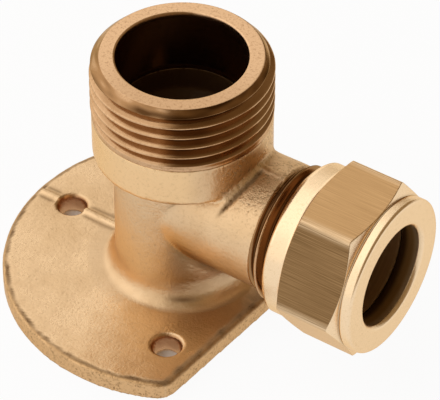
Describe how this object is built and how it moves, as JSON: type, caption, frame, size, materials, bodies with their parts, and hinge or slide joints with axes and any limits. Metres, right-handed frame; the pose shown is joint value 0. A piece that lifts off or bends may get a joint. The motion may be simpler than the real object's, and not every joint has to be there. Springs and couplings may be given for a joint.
{
  "type": "wall plate elbow",
  "caption": "Cast brass wall elbow: a drilled wall flange carries an upright threaded outlet and a side branch closed by a hexagon compression nut over a sealing ring.",
  "frame": {"origin": "where the outlet's axis meets the wall face of the flange", "axes": "+Z along the outlet, away from the wall; +X along the compression branch, towards the pipe"},
  "size_m": [0.063, 0.054, 0.042],
  "materials": {
    "cast_brass": "satin, cast and blasted, with machined threads",
    "turned_brass": "turned from bar",
    "olive_brass": "turned, plain"
  },
  "bodies": {
    "body": {"fitting_body": "cast_brass"},
    "olive": {"olive": "olive_brass"},
    "nut": {"compression_nut": "turned_brass"}
  },
  "joints": [
    {"name": "nut_travel", "type": "slide", "parent": "body", "child": "olive", "axis": [1, 0, 0], "range_m": [0, 0.00635]},
    {"name": "nut_turn", "type": "hinge", "parent": "olive", "child": "nut", "pos_m": [0.0286, 0, 0.018], "axis": [1, 0, 0], "range_deg": [0, 1260]}
  ],
  "couplings": [
    {"joint": "nut_travel", "follows": "nut_turn", "m_per_rad": 0.00028871}
  ]
}
